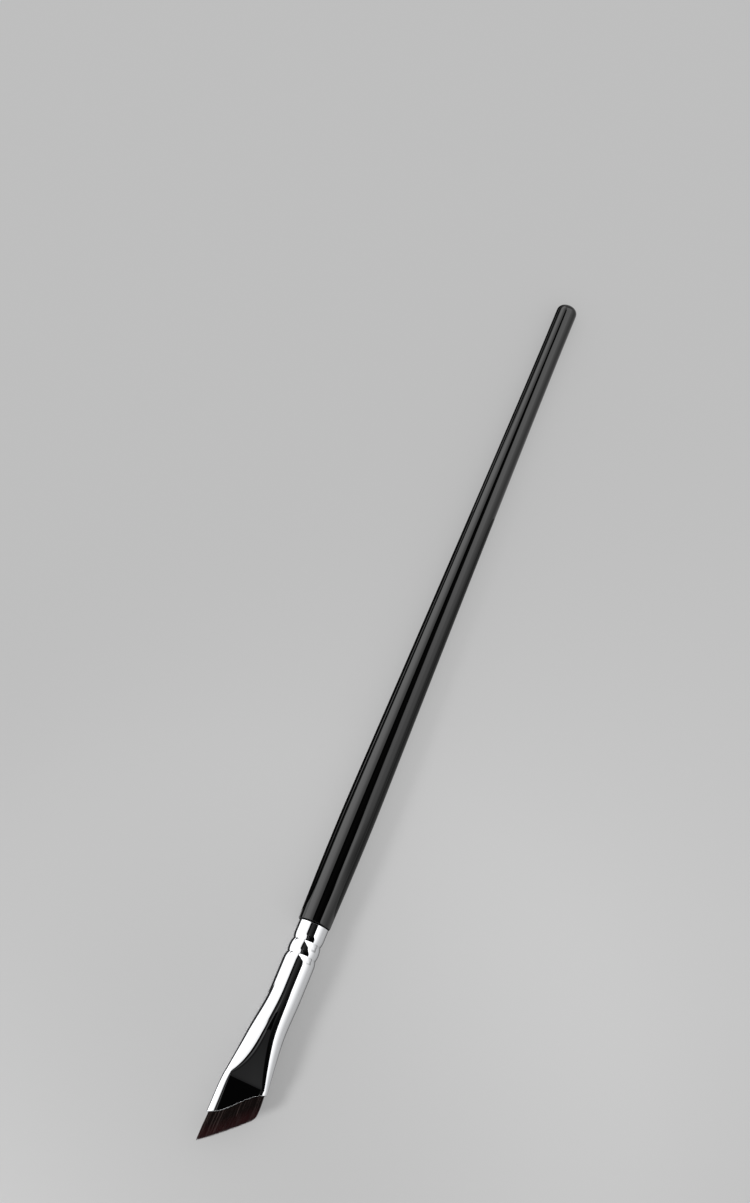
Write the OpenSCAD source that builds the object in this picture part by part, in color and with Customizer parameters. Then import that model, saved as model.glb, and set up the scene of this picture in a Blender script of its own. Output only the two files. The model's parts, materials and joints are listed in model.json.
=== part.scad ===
// Slanted eyeliner brush. A turned wooden handle carries a metal ferrule, a tube that is crimped
// onto the handle's tenon and pressed flat towards its mouth, with a slanted tuft glued into it.
// Stations are distances along the brush from the joint between handle and ferrule, positive
// towards the bristle. The brush lies as it rests, on its belly and its tail, with its head
// towards -X, the flat of the head level and the long side of the tuft at +Y.

/* [Handle] */
// Length of the handle from its shoulder to the end of its tail
handle_length = 127; // [110:1:150]
// Diameter of the belly, the thickest place
belly_d = 6.4; // [6.3:0.05:8]
// Distance of the belly from the shoulder
belly_at = 19; // [12:1:30]
// How quickly the taper falls away behind the belly
taper_power = 1.25; // [1:0.05:1.6]
// Diameter of the parallel tail
tail_d = 3.86; // [3:0.02:5]
// Length of the parallel tail up to its rounded end
tail_straight = 7; // [4:0.5:12]
// Length of the tail's rounded end
tail_round = 1.6; // [0.8:0.1:1.9]
// How far the shoulder stands proud of the ferrule's end
shoulder_step = 0.15; // [0.1:0.01:0.2]
// Radius of the lacquered edge of the shoulder
shoulder_round = 0.15; // [0.05:0.01:0.3]
// Length of the tenon inside the ferrule
tenon_length = 9; // [8.5:0.5:12]
// Chamfer on the tenon's end
tenon_chamfer = 0.5; // [0.2:0.1:1]

/* [Ferrule] */
// Outer diameter of the round barrel
barrel_d = 6; // [5.9:0.05:6.3]
// Outer diameter of the crimped end against the shoulder
crimp_d = 5.66; // [5.5:0.02:5.8]
// Thickness of the metal
wall = 0.25; // [0.2:0.01:0.35]
// Bevel on the crimped end
end_bevel = 0.08; // [0.04:0.01:0.15]
// Station of the first crimp groove
groove_at = 3.5; // [2:0.1:4]
// Distance between the two crimp grooves
groove_pitch = 2.6; // [2.6:0.05:3]
// Width of a crimp groove, from one crest of metal to the next
groove_width = 2.4; // [1.6:0.1:2.5]
// Depth of a crimp groove
groove_depth = 0.2; // [0.1:0.01:0.3]
// Station where the tube starts to flatten
flatten_at = 13; // [12.5:0.5:16]
// Station of the crease, where the slope of the press ends, at the middle of a face
crease_at = 30.1; // [28:0.1:30.3]
// How much nearer to the bristle the crease is on the short side
crease_slant = 0.3; // [0:0.1:1.2]
// How far before the crease the flat face has its full width on the long side
face_lead = 0.6; // [0:0.1:1]
// Width across the crease
crease_width = 8.54; // [8:0.02:8.8]
// Thickness at the crease
crease_thickness = 2.04; // [1.8:0.02:2.6]
// Width of the flat face at the crease
crease_flat = 6; // [5:0.1:6.4]
// Station of the middle of the slanted mouth
mouth_middle = 34.2; // [34:0.1:36]
// How much longer the ferrule is on its long side
mouth_slant = 6.4; // [4:0.1:7]
// Width across the mouth
mouth_width = 8.8; // [8.6:0.02:9.2]
// Length beyond the crease over which the width grows to the mouth's
widening_length = 3; // [1.5:0.5:5]
// Thickness at the tip of the mouth
mouth_thickness = 1.6; // [1.4:0.05:2]
// Width of the flat face at the mouth
mouth_flat = 5.3; // [4.6:0.1:6]
// How far the flattened part sits off the axis, towards the long side
head_offset = 0.48; // [0:0.02:0.8]
// Length over which the tube moves off the axis
offset_length = 9; // [6:0.5:12]

/* [Bristle] */
// Station of the roots of the bristle
root_at = 24; // [22:0.5:26]
// Station where the slanted edge meets the short side
heel_at = 35.4; // [34.6:0.1:37]
// Station of the tip
tip_at = 42.8; // [41:0.1:46]
// How far the slanted edge bulges from straight
edge_bulge = 0.25; // [0:0.05:0.5]
// Radius of the rounded heel
heel_round = 0.8; // [0.6:0.1:1.6]
// How far each side spreads beyond the mouth
spread = 0.1; // [0:0.01:0.2]
// Thickness at the tips
tip_thickness = 0.34; // [0.3:0.02:0.5]
// Depth of the grooves between the locks of bristle
lock_depth = 0.04; // [0.01:0.01:0.06]
// How much shorter every second lock is
lock_step = 0.08; // [0:0.01:0.2]
// Length of the glue plug behind the roots
glue_length = 5; // [3:0.5:7]

/* [Fit] */
// Clearance of the tenon and the shoulder to the ferrule
tenon_gap = 0.02; // [0.015:0.005:0.04]
// Clearance of bristle and glue to the ferrule and to each other
bristle_gap = 0.06; // [0.04:0.005:0.08]

/* [Hidden] */

// Steps around a quarter of the tube, and of the tuft
tube_steps = 14;
tuft_steps = 30;
// How closely the steps crowd towards the narrow sides
crowding = 1.5;
// Steps along the swell in front of the belly, the taper, the rounded tail and the shoulder's edge
swell_steps = 8;
taper_steps = 30;
round_steps = 10;
edge_steps = 4;
// Rings along the flattening, the mouth and the free bristle
flatten_rings = 12;
mouth_rings = 4;
free_rings = 7;
// How softly the taper starts, as a share of its length
taper_ease = 0.05;
// Fullness of the rounded tail: 2 is an ellipse, more is squarer
tail_fullness = 2.3;
// How the flattening sets in: thickness, width, and flat face on the short and on the long side
thickness_power = 2;
width_power = 1.7;
flat_power = 2.3;
long_flat_power = 5.6;
// How the bristle thins towards the tips
thinning_power = 1.2;

belly_r = belly_d / 2;
tail_r = tail_d / 2;
barrel_r = barrel_d / 2;
crimp_r = crimp_d / 2;
shoulder_r = crimp_r + shoulder_step;
straight_end = handle_length - tail_round;
straight_start = straight_end - tail_straight;
grooves = [groove_at, groove_at + groove_pitch];
swell_start = groove_at - 0.3 * groove_width;
swell_end = groove_at + groove_pitch + 0.9 * groove_width;

// Rises from 0 to 1 between 0 and 1, level at both ends
function ease(t) = let (c = min(1, max(0, t))) c * c * (3 - 2 * c);

// Radius of the handle at a distance behind the shoulder
function swell_r(d) = belly_r - (belly_r - shoulder_r) * pow(1 - d / belly_at, 2);
function soft_start(t) =
    (sqrt(t * t + taper_ease * taper_ease) - taper_ease) / (sqrt(1 + taper_ease * taper_ease) - taper_ease);
function taper_r(d) =
    let (t = (d - belly_at) / (straight_start - belly_at))
    tail_r + (belly_r - tail_r) * pow(1 - soft_start(t), taper_power);

// Distances behind the shoulder at which the profile has a point
swell_places = [for (i = [1:swell_steps]) shoulder_round + (belly_at - shoulder_round) * i / swell_steps];
taper_places = [for (i = [1:taper_steps]) belly_at + (straight_start - belly_at) * i / taper_steps];

// The tilt at which belly and tail touch the table together
rest_tilt = max([for (d = taper_places) atan((taper_r(d) - tail_r) / (straight_end - d))]);
middle = (tip_at - handle_length) / 2;
lift = tail_r * cos(rest_tilt) + (straight_end + middle) * sin(rest_tilt);

// Outer radius of the ferrule where it is round: it swells from the crimped end to the barrel. The
// crimp leaves sharp grooves with crowned beads of metal between them.
function notch(t) = t < 0.5 ? pow(1 - 2 * t, 2) : 0;
function groove(s) = groove_depth * max([for (g = grooves) notch(abs(s - g) / groove_width)]);
function round_r(s) =
    crimp_r + (barrel_r - crimp_r) * ease((s - swell_start) / (swell_end - swell_start)) - groove(s);

// Half thickness, half width, half of the flat face and offset of the ferrule at a station
function pressed(s) = min(1, max(0, (s - flatten_at) / (crease_at - flatten_at)));
function beyond(s) = max(0, (s - crease_at) / (mouth_middle + mouth_slant / 2 - crease_at));
function half_thickness(s) =
    s < flatten_at ? round_r(s)
    : barrel_r + (crease_thickness / 2 - barrel_r) * pow(pressed(s), thickness_power)
        + (mouth_thickness - crease_thickness) / 2 * beyond(s);
function widened(s) = sin(90 * min(1, max(0, (s - crease_at) / widening_length)));
function half_width(s) =
    s < flatten_at ? round_r(s)
    : barrel_r + (crease_width / 2 - barrel_r) * pow(pressed(s), width_power)
        + (mouth_width - crease_width) / 2 * widened(s);
function half_flat(s, place) =
    crease_flat / 2 * (place > 0 ? pow(pressed(s + face_lead), long_flat_power) : pow(pressed(s), flat_power))
        + (mouth_flat - crease_flat) / 2 * beyond(s);
function offset_at(s) = head_offset * ease((s - flatten_at) / offset_length);

// A place around the section runs from 1 at the long side over 0 in the middle of a face to -1 at
// the short side. Its share of the quarter's length crowds towards the narrow sides.
function share(place) = sign(place) * (1 - pow(1 - abs(place), crowding));

// Point of an oval with flat faces and half-elliptic sides, by its share of the quarter's length
function oval_point(width, thickness, flat, place) =
    let (
        side = width - flat,
        side_length = PI / 2 * sqrt((side * side + thickness * thickness) / 2),
        along = abs(share(place)) * (flat + side_length),
        turn = 90 * max(0, along - flat) / side_length
    )
    [thickness * cos(turn), sign(place) * (min(along, flat) + side * sin(turn))];

// The tube is cut at a slant while it is still round, so pressed flat its mouth is an S-curve
function mouth_at(place) = mouth_middle + mouth_slant / 2 * sin(90 * share(place));

// The press stands at a small slant too, so each ring shifts along the brush, the more the flatter
function shift(travel, place) = -crease_slant / 2 * sin(90 * share(place)) * pressed(travel);

// Station that sets the form: the travel up to the crease, from there one unit on to the mouth
function form_at(travel, place) =
    travel <= crease_at ? travel
    : crease_at + (travel - crease_at) * (mouth_at(place) - crease_at - shift(travel, place));

// Point of the tube's surface, moved in from the outside by an inset
function tube_point(travel, place, face, inset) =
    let (
        s = form_at(travel, place),
        p = oval_point(half_width(s) - inset, half_thickness(s) - inset, half_flat(s, place), place)
    )
    [face * p[0], p[1] + offset_at(s), s + shift(travel, place)];

// Places around a ring: over the upper face and back under the lower one, with +1 or -1 for the face
function places(steps) = concat(
    [for (i = [0:2 * steps - 1]) [1 - i / steps, 1]],
    [for (i = [0:2 * steps - 1]) [i / steps - 1, -1]]
);
function tube_ring(travel, inset, steps) =
    [for (p = places(steps)) tube_point(travel, p[0], p[1], inset)];

// Slanted edge of the tuft at a distance from its short side
free_half_width = mouth_width / 2 - wall - bristle_gap + spread;
tip_share = tip_thickness / (mouth_thickness - 2 * wall - 2 * bristle_gap);
function edge_at(y) =
    let (
        t = y / (2 * free_half_width),
        c = 1 - min(1, y / heel_round)
    )
    heel_at + (tip_at - heel_at) * t + 4 * edge_bulge * t * (1 - t) - heel_round * (1 - sqrt(1 - c * c));

// Ring of the free bristle, from 0 at the mouth to 1 at the tips, with every second point sunk
function free_ring(t) =
    let (around = places(tuft_steps))
    [for (i = [0:len(around) - 1])
        let (
            place = around[i][0],
            start = tube_point(crease_at + 1, place, 1, wall + bristle_gap),
            y = (start[1] - head_offset) * (1 + spread * ease(2 * t) / (free_half_width - spread)),
            y_safe = min(free_half_width, max(-free_half_width, y)),
            lock = (i % 2) * ease(3 * t),
            thin = 1 - (1 - tip_share) * pow(t, thinning_power),
            tip = edge_at(y_safe + free_half_width) - lock_step * lock
        )
        [
            around[i][1] * max(0, start[0] * thin - lock_depth * lock * min(1, 2 * start[0])),
            y_safe + head_offset,
            start[2] + (tip - start[2]) * t
        ]
    ];

// Stations of the rings
groove_places = [for (g = grooves) for (k = [-2:2]) g + k * groove_width / 4];
barrel_places = concat(groove_places, [swell_end]);
flatten_places = [for (i = [0:flatten_rings]) flatten_at + (crease_at - flatten_at) * i / flatten_rings];
mouth_places = [for (i = [1:mouth_rings]) crease_at + i / mouth_rings];

// Turns nested rings of points into one list
function flat_list(rings) = [for (r = rings) each r];

// Two triangles between step i of one ring and the same step of the next
function between(a, b, i, n) =
    [[a + i, a + (i + 1) % n, b + (i + 1) % n], [a + i, b + (i + 1) % n, b + i]];

// Closed tube: the rings run up the outside and back down the inside
module hollow(rings) {
    n = len(rings[0]);
    count = len(rings);
    polyhedron(
        points = flat_list(rings),
        faces = [for (k = [0:count - 1]) for (i = [0:n - 1]) each between(k * n, (k + 1) % count * n, i, n)]
    );
}

// Closed stack of rings, each end closed by strips between the upper and the lower face
function end_strips(a, n) =
    [for (i = [0:n / 2 - 1]) each concat(
        i < n / 2 - 1 ? [[a + i, a + i + 1, a + n - i - 1]] : [],
        i > 0 ? [[a + i, a + n - i - 1, a + n - i]] : []
    )];
function reversed(face) = [face[2], face[1], face[0]];
module stack(rings) {
    n = len(rings[0]);
    count = len(rings);
    polyhedron(
        points = flat_list(rings),
        faces = concat(
            [for (f = end_strips(0, n)) reversed(f)],
            [for (k = [0:count - 2]) for (i = [0:n - 1]) each between(k * n, (k + 1) * n, i, n)],
            end_strips((count - 1) * n, n)
        )
    );
}

// Lays the brush down: stations run along -X, the faces of the head look up and down
module lying() {
    translate([0, 0, lift]) rotate([0, rest_tilt - 90, 0]) translate([0, -head_offset, -middle]) children();
}

// Tenon from the shoulder to its end, with the grooves that the crimp presses into it
function tenon_r(s) = round_r(s) - wall - tenon_gap;
tenon_places = [for (s = concat([0], barrel_places)) if (s < tenon_length - tenon_chamfer) s];
module handle() {
    corner_power = 2 / tail_fullness;
    tail_points = [for (i = [0:round_steps])
        let (a = 90 - 90 * i / round_steps)
        [tail_r * pow(cos(a), corner_power), -straight_end - tail_round * pow(sin(a), corner_power)]];
    taper_points = [for (i = [taper_steps - 1:-1:0]) [taper_r(taper_places[i]), -taper_places[i]]];
    swell_points = [for (i = [swell_steps - 2:-1:0]) [swell_r(swell_places[i]), -swell_places[i]]];
    edge_r = swell_r(shoulder_round);
    edge_points = [for (i = [0:edge_steps])
        let (a = 90 * i / edge_steps)
        [edge_r - shoulder_round * (1 - cos(a)), -shoulder_round * (1 - sin(a))]];
    tenon_points = [for (s = tenon_places) [tenon_r(s), s]];
    tenon_end = [
        [tenon_r(tenon_length), tenon_length - tenon_chamfer],
        [tenon_r(tenon_length) - tenon_chamfer, tenon_length],
        [0, tenon_length]
    ];
    color("#0c0c0d") lying() rotate_extrude($fn = 96)
        polygon(concat(tail_points, taper_points, [[belly_r, -belly_at]], swell_points, edge_points,
            tenon_points, tenon_end));
}

module ferrule() {
    outside = concat(
        [tube_ring(tenon_gap, end_bevel, tube_steps)],
        [for (s = concat([tenon_gap + end_bevel], barrel_places, flatten_places, mouth_places))
            tube_ring(s, 0, tube_steps)]
    );
    inside = [for (s = concat([tenon_gap], barrel_places, flatten_places, mouth_places))
        tube_ring(s, wall, tube_steps)];
    color("#d9dadb") lying() hollow(concat(outside, [for (k = [len(inside) - 1:-1:0]) inside[k]]));
}

module bristle_tuft() {
    held_places = concat([root_at], [for (s = flatten_places) if (s > root_at + 0.5) s], mouth_places);
    held = [for (s = held_places) tube_ring(s, wall + bristle_gap, tuft_steps)];
    free = [for (k = [1:free_rings]) free_ring(k / free_rings)];
    color("#2a1d1b") lying() stack(concat(held, free));
}

module root_glue() {
    glue_end = root_at - bristle_gap;
    glue_start = root_at - glue_length;
    between_ends = [for (s = flatten_places) if (s > glue_start + 0.5 && s < glue_end - 0.5) s];
    color("#b9a06a") lying() stack([for (s = concat([glue_start], between_ends, [glue_end]))
        tube_ring(s, wall + bristle_gap, tube_steps)]);
}

handle();
ferrule();
bristle_tuft();
root_glue();
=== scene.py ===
"""Slanted eyeliner brush: lacquered handle, crimped and flattened metal ferrule, dark tuft.

Stations are distances along the brush from the joint between handle and ferrule, in metres,
positive towards the bristle. A surface point is worked out as (up, across, station) and then laid
into the frame along the axis of the tail's pin mount.
"""

import json
import math

import bpy
import numpy as np
from bpy.props import FloatProperty, FloatVectorProperty, IntProperty, PointerProperty
from mathutils import Matrix, Vector


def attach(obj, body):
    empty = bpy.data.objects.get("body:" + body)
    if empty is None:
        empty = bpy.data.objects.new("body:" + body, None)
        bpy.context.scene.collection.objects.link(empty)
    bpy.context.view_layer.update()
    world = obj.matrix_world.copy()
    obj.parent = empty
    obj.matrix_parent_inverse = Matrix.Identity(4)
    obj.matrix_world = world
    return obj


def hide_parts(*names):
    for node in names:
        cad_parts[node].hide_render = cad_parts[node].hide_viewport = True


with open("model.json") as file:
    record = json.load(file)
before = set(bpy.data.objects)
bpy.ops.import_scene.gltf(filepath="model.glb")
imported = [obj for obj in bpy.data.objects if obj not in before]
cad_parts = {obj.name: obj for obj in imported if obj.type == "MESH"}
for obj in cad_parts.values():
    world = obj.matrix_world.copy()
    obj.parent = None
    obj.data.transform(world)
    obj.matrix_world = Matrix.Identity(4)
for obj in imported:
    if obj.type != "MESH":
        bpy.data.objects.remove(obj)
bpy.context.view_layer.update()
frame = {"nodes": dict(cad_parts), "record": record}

bl_info = {
    "name": "Slanted eyeliner brush",
    "version": (1, 0, 0),
    "blender": (4, 5, 0),
    "location": "3D View > Sidebar > Brush",
    "description": "Handle, ferrule and bristle of a slanted eyeliner brush, with its studio stage",
    "category": "Add Mesh",
}

MM = 0.001
HAIR_SEED = 7
# Edges that bend more than this stay sharp.
SHARP_BEND = math.radians(38)
# Powers of the pressed share that the ferrule's width and its flat faces follow.
WIDTH_POWER = 1.7
LONG_FACE_POWER = 5.6
SHORT_FACE_POWER = 2.3
# Crowds the points around a section towards its sides.
SIDE_CROWDING = 1.5


def linear(code):
    """Linear red, green, blue of an sRGB colour written as #rrggbb."""
    parts = [int(code[i:i + 2], 16) / 255 for i in (1, 3, 5)]
    return [p / 12.92 if p <= 0.04045 else ((p + 0.055) / 1.055) ** 2.4 for p in parts]


def size(name, words, value):
    """A length in metres that the sidebar shows."""
    return FloatProperty(name=name, description=words, default=value, min=0.0, unit="LENGTH", precision=5)


def share(name, words, value):
    """A number without a unit."""
    return FloatProperty(name=name, description=words, default=value, min=0.0, precision=3)


def turn(name, words, degrees):
    """An angle."""
    return FloatProperty(name=name, description=words, default=math.radians(degrees), subtype="ANGLE")


def colour(name, words, code):
    """A linear colour picked from an sRGB code."""
    return FloatVectorProperty(
        name=name, description=words, default=linear(code), size=3, min=0.0, max=1.0, subtype="COLOR"
    )


class HandleSizes(bpy.types.PropertyGroup):
    """Sizes of the turned and lacquered handle."""

    length: size("Length", "From the shoulder to the end of the tail", 127 * MM)
    belly_d: size("Belly diameter", "Diameter at the thickest place", 6.4 * MM)
    belly_at: size("Belly place", "Distance of the belly behind the shoulder", 19 * MM)
    taper_power: share("Taper power", "How quickly the taper falls away behind the belly", 1.25)
    taper_ease: share("Taper ease", "How softly the taper starts, as a share of its length", 0.05)
    tail_d: size("Tail diameter", "Diameter of the parallel tail", 3.86 * MM)
    tail_straight: size("Tail length", "Length of the parallel tail", 7 * MM)
    tail_round: size("Tail rounding", "Length of the rounded end", 1.6 * MM)
    tail_fullness: share("Tail fullness", "2 is an ellipse, more is squarer", 2.3)
    shoulder_step: size("Shoulder step", "How far the shoulder stands proud of the ferrule", 0.15 * MM)
    shoulder_round: size("Shoulder edge", "Radius of the lacquered edge", 0.15 * MM)
    tenon_length: size("Tenon length", "Length inside the ferrule", 9 * MM)
    tenon_chamfer: size("Tenon chamfer", "Chamfer on the tenon's end", 0.5 * MM)
    tenon_gap: size("Tenon gap", "Clearance between tenon and ferrule", 0.02 * MM)
    lacquer: colour("Lacquer", "Colour of the lacquer", "#030303")


class FerruleSizes(bpy.types.PropertyGroup):
    """Sizes of the crimped and flattened metal tube."""

    barrel_d: size("Barrel diameter", "Outer diameter of the round barrel", 6 * MM)
    crimp_d: size("Crimped diameter", "Outer diameter against the shoulder", 5.66 * MM)
    wall: size("Wall", "Thickness of the metal", 0.25 * MM)
    end_bevel: size("End bevel", "Bevel on the crimped end", 0.08 * MM)
    groove_at: size("Groove place", "Station of the first crimp groove", 3.5 * MM)
    groove_pitch: size("Groove pitch", "Distance between the two grooves", 2.6 * MM)
    groove_width: size("Groove width", "Width of a crimp groove, from crest to crest", 2.4 * MM)
    groove_depth: size("Groove depth", "Depth of a crimp groove", 0.2 * MM)
    flatten_at: size("Flattening start", "Station where the tube starts to flatten", 13 * MM)
    crease_at: size("Crease place", "Station where the slope of the press ends", 30.1 * MM)
    crease_slant: size("Crease slant", "How much nearer to the bristle the short side's crease is", 0.3 * MM)
    face_lead: size("Face lead", "How far before the crease the long side's face is full", 0.6 * MM)
    crease_width: size("Crease width", "Width across the crease", 8.54 * MM)
    crease_thickness: size("Crease thickness", "Thickness at the crease", 2.04 * MM)
    crease_flat: size("Crease face", "Width of the flat face at the crease", 6 * MM)
    crease_soft: size("Crease softness", "How much the crease is rounded over", 0.06 * MM)
    mouth_middle: size("Mouth middle", "Station of the middle of the slanted mouth", 34.2 * MM)
    mouth_slant: size("Mouth slant", "How much longer the long side is", 6.4 * MM)
    mouth_width: size("Mouth width", "Width across the mouth", 8.8 * MM)
    widening_length: size("Widening", "Length over which the width grows past the crease", 3 * MM)
    mouth_thickness: size("Mouth thickness", "Thickness at the tip of the mouth", 1.6 * MM)
    mouth_flat: size("Mouth face", "Width of the flat face at the mouth", 5.3 * MM)
    head_offset: size("Head offset", "How far the flattened part sits off the axis", 0.48 * MM)
    offset_length: size("Offset length", "Length over which the tube moves off the axis", 9 * MM)
    metal: colour("Metal", "Colour of the polished metal", "#e6e7e9")


class TuftSizes(bpy.types.PropertyGroup):
    """Sizes and colours of the bristle."""

    root_at: size("Roots", "Station of the roots", 24 * MM)
    heel_at: size("Heel", "Station where the slanted edge meets the short side", 35.4 * MM)
    tip_at: size("Tip", "Station of the tip", 42.8 * MM)
    edge_bulge: size("Edge bulge", "How far the slanted edge bulges", 0.25 * MM)
    heel_round: size("Heel radius", "Radius of the rounded heel", 0.8 * MM)
    spread: size("Spread", "How far each side spreads beyond the mouth", 0.1 * MM)
    tip_thickness: size("Tip thickness", "Thickness at the tips", 0.34 * MM)
    thinning_power: share("Thinning", "How the tuft thins towards the tips", 1.2)
    wall_gap: size("Wall gap", "Clearance between bristle and ferrule", 0.06 * MM)
    hair_d: size("Hair diameter", "Diameter of one bristle", 0.07 * MM)
    hairs: IntProperty(name="Hairs", description="Number of bristles drawn", default=2400, min=10)
    root_colour: colour("Root colour", "Colour of the bristle at the ferrule", "#0d0706")
    tip_colour: colour("Tip colour", "Colour of the bristle at its tips", "#280e10")
    light_colour: colour("Light hair", "Colour of the palest bristles", "#6c5c58")


class StageSizes(bpy.types.PropertyGroup):
    """Camera, floor and studio lights."""

    distance: size("Camera distance", "From the point aimed at", 513.8 * MM)
    aim: FloatVectorProperty(
        name="Aim", description="Point on the floor at the picture's middle",
        default=(17.45 * MM, 11.63 * MM, 0.0), subtype="TRANSLATION",
    )
    lean: turn("Camera lean", "Lean of the camera towards the head of the brush", 14.57)
    side: turn("Camera side lean", "Lean of the camera towards the long side of the head", 2.3)
    roll: turn("Camera roll", "Turn of the picture about the line of sight", 22.85)
    lens: share("Lens", "Focal length in millimetres over a picture 36 mm high", 83.8)
    tent_radius: size("Tent radius", "Radius of the light tent over the brush", 450 * MM)
    tent_level: share("Tent level", "Factor on the radiance of the light tent", 1.0)
    fill: share("Fill", "Radiance of the room around the stage", 0.55)
    key: share("Key light", "Light on the floor at the head, where 1 shows a colour as it is written", 0.7)
    key_lean: turn("Key light lean", "Lean of the key light away from upright", 56)
    key_turn: turn("Key light turn", "Turn of the key light from the long side towards the bristle", 48)
    key_cone: turn("Key light cone", "Angle of the pool of light at the head", 20)
    key_distance: size("Key light distance", "Distance of the key light from the head", 350 * MM)
    key_radius: size("Key light radius", "Radius of the key light, which softens the head's shadow", 50 * MM)
    key_aim: FloatVectorProperty(
        name="Key light aim", description="Middle of the pool of light", default=(-80 * MM, -4 * MM, 0.0),
        subtype="TRANSLATION",
    )
    floor: colour("Floor", "Colour of the floor", "#969696")
    floor_glow: share("Floor glow", "Light that the translucent floor lets through from below", 0.35)
    pool_glow: share("Pool glow", "The same in the middle of the key light's pool", 0.22)
    pool_radius: size("Pool radius", "Radius of the key light's pool on the floor", 75 * MM)


def laid(up, across, station):
    """Places a point in the frame: the joint, less the axis times the station, plus the upward and
    sideways directions times their distances. Axis and joint follow from the tail's pin mount."""
    pin = next(m for m in frame["record"]["mounts"] if m["name"] == "tail_pin")
    handle = bpy.context.scene.brush_handle
    axis = np.array(pin["axis"])
    upward = np.array([-axis[2], 0.0, axis[0]])
    behind = handle.length - handle.tail_round - handle.tail_straight / 2
    joint = np.array(pin["pos_m"]) - axis * behind
    side = np.array([0.0, 1.0, 0.0])
    spread = np.broadcast_arrays(up, across, station)
    up, across, station = (np.asarray(v, dtype=float)[..., None] for v in spread)
    return joint + upward * up + side * across - axis * station


def ease(t):
    """Rises from 0 to 1 between 0 and 1, level at both ends: 3 t squared less 2 t cubed."""
    c = np.clip(t, 0.0, 1.0)
    return c * c * (3 - 2 * c)


def round_radius(f, station):
    """Outer radius of the round ferrule: it swells from the crimped end to the barrel, from a
    little before the first groove to a little past the second, less two parabolas that meet in a
    sharp line for each crimp groove."""
    start = f.groove_at - 0.3 * f.groove_width
    end = f.groove_at + f.groove_pitch + 0.9 * f.groove_width
    radius = f.crimp_d / 2 + (f.barrel_d - f.crimp_d) / 2 * ease((station - start) / (end - start))
    for place in (f.groove_at, f.groove_at + f.groove_pitch):
        t = np.clip(np.abs(station - place) / f.groove_width, 0.0, 0.5)
        radius = radius - f.groove_depth * (1 - 2 * t) ** 2
    return radius


def half_sizes(f, station, place):
    """Half thickness, half width and half flat face of the ferrule at a station. Up to the crease
    they follow powers of the pressed share, beyond it straight lines, and the thickness is the
    soft maximum of the two, which rounds the crease over. The flat face sets in later on the long
    side, where the place is positive."""
    pressed = np.clip((station - f.flatten_at) / (f.crease_at - f.flatten_at), 0.0, None)
    held = np.minimum(pressed, 1.0)
    reach = f.mouth_middle + f.mouth_slant / 2 - f.crease_at
    beyond = (station - f.crease_at) / reach
    past = np.maximum(beyond, 0.0)
    barrel = f.barrel_d / 2
    slope = barrel + (f.crease_thickness / 2 - barrel) * pressed ** 2
    level = f.crease_thickness / 2 + (f.mouth_thickness - f.crease_thickness) / 2 * beyond
    thickness = (slope + level + np.sqrt((slope - level) ** 2 + f.crease_soft ** 2)) / 2
    thickness = np.minimum(thickness, np.maximum(slope, level) + f.crease_soft / 2 * ease(pressed * 2 - 1))
    widened = np.sin(math.pi / 2 * np.clip((station - f.crease_at) / f.widening_length, 0.0, 1.0))
    width = barrel + (f.crease_width / 2 - barrel) * held ** WIDTH_POWER
    width = width + (f.mouth_width - f.crease_width) / 2 * widened
    led = np.clip((station + f.face_lead - f.flatten_at) / (f.crease_at - f.flatten_at), 0.0, 1.0)
    face_share = np.where(place > 0, led ** LONG_FACE_POWER, held ** SHORT_FACE_POWER)
    flat = f.crease_flat / 2 * face_share + (f.mouth_flat - f.crease_flat) / 2 * past
    is_round = station < f.flatten_at
    radius = round_radius(f, station)
    thickness = np.where(is_round, radius, thickness)
    width = np.where(is_round, radius, width)
    return thickness, width, np.where(is_round, 0.0, flat)


def quarter_share(place):
    """Share of the quarter's length for a place around the section, crowded towards the sides: the
    place runs from 1 at the long side over 0 in the middle of a face to -1 at the short side."""
    return np.sign(place) * (1 - (1 - np.abs(place)) ** SIDE_CROWDING)


def oval(thickness, width, flat, place):
    """Point of an oval with flat faces and half-elliptic sides, walked by length: along the flat
    first, then round the ellipse by the rest of the length."""
    side = width - flat
    side_length = math.pi / 2 * np.sqrt((side ** 2 + thickness ** 2) / 2)
    along = np.abs(quarter_share(place)) * (flat + side_length)
    angle = math.pi / 2 * np.maximum(0.0, along - flat) / side_length
    return thickness * np.cos(angle), np.sign(place) * (np.minimum(along, flat) + side * np.sin(angle))


def mouth_at(f, place):
    """Station of the mouth: the tube was cut at a slant while round, so the pressed edge follows a
    sine of the share of the quarter's length."""
    return f.mouth_middle + f.mouth_slant / 2 * np.sin(math.pi / 2 * quarter_share(place))


def shift(f, travel, place):
    """How far a ring shifts along the brush at a place: half the crease's slant times the sine of
    the share of the quarter's length, growing with the pressed share."""
    pressed = np.clip((travel - f.flatten_at) / (f.crease_at - f.flatten_at), 0.0, 1.0)
    return -f.crease_slant / 2 * np.sin(math.pi / 2 * quarter_share(place)) * pressed


def tube_points(f, travel, place, face, inset, back=0.0):
    """Points of the tube, moved in by an inset. Travel is the station up to the crease, and from
    there it is the crease plus 1 mm for the whole way to the slanted mouth, or to a distance back
    from it. Each ring is shifted, because the crease stands at a slant."""
    moved = shift(f, travel, place)
    on_way = f.crease_at + (travel - f.crease_at) / MM * (mouth_at(f, place) - back - f.crease_at - moved)
    level = np.where(travel <= f.crease_at, travel, on_way)
    thickness, width, flat = half_sizes(f, level, place)
    up, across = oval(thickness - inset, width - inset, flat, place)
    across = across + f.head_offset * ease((level - f.flatten_at) / f.offset_length)
    return face * up, across, level + moved


def around(steps):
    """Places and faces around a ring: over the upper face and back under the lower one."""
    i = np.arange(2 * steps)
    return np.concatenate([1 - i / steps, i / steps - 1]), np.repeat([1.0, -1.0], 2 * steps)


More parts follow.
